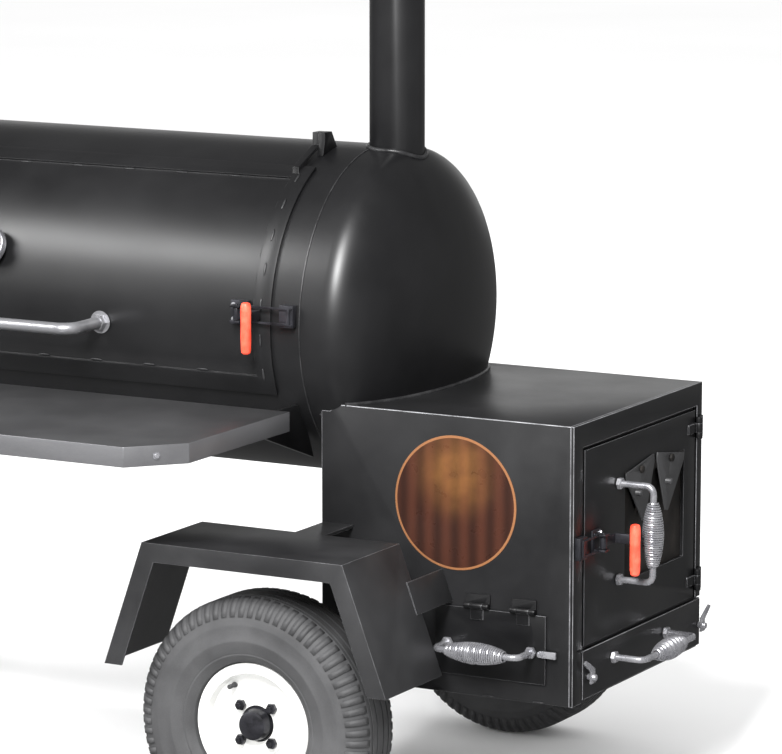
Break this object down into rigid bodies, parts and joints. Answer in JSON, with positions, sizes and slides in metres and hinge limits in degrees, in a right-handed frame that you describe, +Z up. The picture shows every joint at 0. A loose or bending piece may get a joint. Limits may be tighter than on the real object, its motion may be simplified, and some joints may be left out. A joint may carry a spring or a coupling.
{
  "type": "offset smoker",
  "caption": "Trailer-mounted offset smoker: horizontal tank with a curved door and shelf, square firebox, tall stack, wheels under fenders and a tongue.",
  "frame": {"origin": "on the ground under the centre of the footprint", "axes": "+X along the tank towards the firebox, -Y is the cook's side, +Z up"},
  "size_m": [3.1541, 1.377, 2.004],
  "materials": {
    "satin_black": "satin black high-temperature paint",
    "black_sheet": "rubbed satin black paint on sheet",
    "stainless": "brushed",
    "plated_steel": "bright nickel plate",
    "red_grip": "dipped vinyl",
    "tyre_rubber": "moulded rubber",
    "white_enamel": "gloss white enamel",
    "raw_steel": "bare hot-rolled steel, oiled",
    "emblem_print": "printed round emblem plate"
  },
  "bodies": {
    "chassis": {"axle_beam": "satin_black", "baffle_plate": "raw_steel", "cooking_grate_left": "raw_steel", "cooking_grate_right": "raw_steel", "coupler": "satin_black", "door_hinge_lug_left": "satin_black", "door_hinge_lug_right": "satin_black", "door_latch_catch": "satin_black", "drain_pipe": "stainless", "drawer_runners": "raw_steel", "emblem_plate": "emblem_print", "far_fender": "satin_black", "fire_grate": "raw_steel", "firebox_body": "satin_black", "firebox_door_hinge_lower": "satin_black", "firebox_door_hinge_upper": "satin_black", "firebox_face_frame": "satin_black", "firebox_latch_catch": "satin_black", "front_shelf": "black_sheet", "grate_rails": "raw_steel", "jack_outer_tube": "satin_black", "near_fender": "satin_black", "shelf_arm_left": "satin_black", "shelf_arm_right": "satin_black", "side_flap_hinge_left": "satin_black", "side_flap_hinge_right": "satin_black", "smokestack": "satin_black", "tank_shell": "satin_black", "tongue_tube": "satin_black"},
    "stack_cap": {"stack_cap": "satin_black"},
    "cooking_door": {"cooking_door": "satin_black", "door_handle": "stainless", "thermometer": "plated_steel", "door_latch_base": "satin_black"},
    "door_latch": {"door_latch_lever": "satin_black", "door_latch_grip": "red_grip"},
    "firebox_door": {"firebox_door": "satin_black", "firebox_door_handle": "plated_steel", "draft_plate": "satin_black", "firebox_latch_base": "satin_black"},
    "firebox_latch": {"firebox_latch_lever": "satin_black", "firebox_latch_grip": "red_grip"},
    "draft_flap_left": {"draft_flap_left": "black_sheet"},
    "draft_flap_right": {"draft_flap_right": "black_sheet"},
    "ash_drawer": {"ash_drawer": "satin_black", "ash_drawer_handle": "plated_steel"},
    "drawer_catch_left": {"drawer_catch_left": "plated_steel"},
    "drawer_catch_right": {"drawer_catch_right": "plated_steel"},
    "side_flap": {"side_flap": "satin_black", "side_flap_handle": "plated_steel"},
    "turn_button": {"side_flap_turn_button": "plated_steel"},
    "near_wheel": {"near_wheel_tyre": "tyre_rubber", "near_wheel_rim": "white_enamel", "near_wheel_hub": "satin_black"},
    "far_wheel": {"far_wheel_tyre": "tyre_rubber", "far_wheel_rim": "white_enamel", "far_wheel_hub": "satin_black"},
    "coupler_lever": {"coupler_lever": "black_sheet"},
    "jack_leg": {"jack_leg": "stainless"},
    "drain_lever": {"drain_lever": "red_grip"}
  },
  "joints": [
    {"name": "stack_cap_hinge", "type": "hinge", "parent": "chassis", "child": "stack_cap", "pos_m": [0.989, 0.1633, 1.996], "axis": [-1, 0, 0], "range_deg": [0, 95]},
    {"name": "cooking_door_hinge", "type": "hinge", "parent": "chassis", "child": "cooking_door", "pos_m": [0.29, 0.0255, 1.219], "axis": [-1, 0, 0], "range_deg": [0, 100]},
    {"name": "door_latch_pivot", "type": "hinge", "parent": "cooking_door", "child": "door_latch", "pos_m": [0.838, -0.2255, 0.927], "axis": [0, 0, -1], "range_deg": [0, 110]},
    {"name": "firebox_door_hinge", "type": "hinge", "parent": "chassis", "child": "firebox_door", "pos_m": [1.4929, 0.3425, 0.542], "axis": [0, 0, 1], "range_deg": [0, 130]},
    {"name": "firebox_latch_pivot", "type": "hinge", "parent": "firebox_door", "child": "firebox_latch", "pos_m": [1.5046, -0.0845, 0.548], "axis": [0, 0, -1], "range_deg": [0, 110]},
    {"name": "draft_flap_left_pivot", "type": "hinge", "parent": "firebox_door", "child": "draft_flap_left", "pos_m": [1.4886, 0.0985, 0.648], "axis": [1, 0, 0], "range_deg": [-20, 20]},
    {"name": "draft_flap_right_pivot", "type": "hinge", "parent": "firebox_door", "child": "draft_flap_right", "pos_m": [1.4886, 0.2255, 0.648], "axis": [1, 0, 0], "range_deg": [-20, 20]},
    {"name": "ash_drawer_slide", "type": "slide", "parent": "chassis", "child": "ash_drawer", "axis": [1, 0, 0], "range_m": [0, 0.36]},
    {"name": "drawer_catch_left_pivot", "type": "hinge", "parent": "ash_drawer", "child": "drawer_catch_left", "pos_m": [1.4863, -0.1045, 0.307], "axis": [-1, 0, 0], "range_deg": [0, 60]},
    {"name": "drawer_catch_right_pivot", "type": "hinge", "parent": "ash_drawer", "child": "drawer_catch_right", "pos_m": [1.4863, 0.3625, 0.307], "axis": [1, 0, 0], "range_deg": [0, 60]},
    {"name": "side_flap_hinge", "type": "hinge", "parent": "chassis", "child": "side_flap", "pos_m": [1.325, -0.1763, 0.43], "axis": [-1, 0, 0], "range_deg": [0, 45]},
    {"name": "turn_button_pivot", "type": "hinge", "parent": "side_flap", "child": "turn_button", "pos_m": [1.4275, -0.1768, 0.356], "axis": [0, 1, 0], "range_deg": [0, 90]},
    {"name": "near_wheel_spin", "type": "hinge", "parent": "chassis", "child": "near_wheel", "pos_m": [0.99, -0.384, 0.231], "axis": [0, 1, 0], "continuous": true},
    {"name": "far_wheel_spin", "type": "hinge", "parent": "chassis", "child": "far_wheel", "pos_m": [0.99, 0.585, 0.231], "axis": [0, 1, 0], "continuous": true},
    {"name": "coupler_lever_hinge", "type": "hinge", "parent": "chassis", "child": "coupler_lever", "pos_m": [-1.465, 0.1005, 0.486], "axis": [0, -1, 0], "range_deg": [0, 70]},
    {"name": "jack_leg_slide", "type": "slide", "parent": "chassis", "child": "jack_leg", "axis": [0, 0, 1], "range_m": [0, 0.14]},
    {"name": "drain_lever_pivot", "type": "hinge", "parent": "chassis", "child": "drain_lever", "pos_m": [-0.18, 0.0687, 0.5275], "axis": [0, 1, 0], "range_deg": [0, 90]}
  ]
}
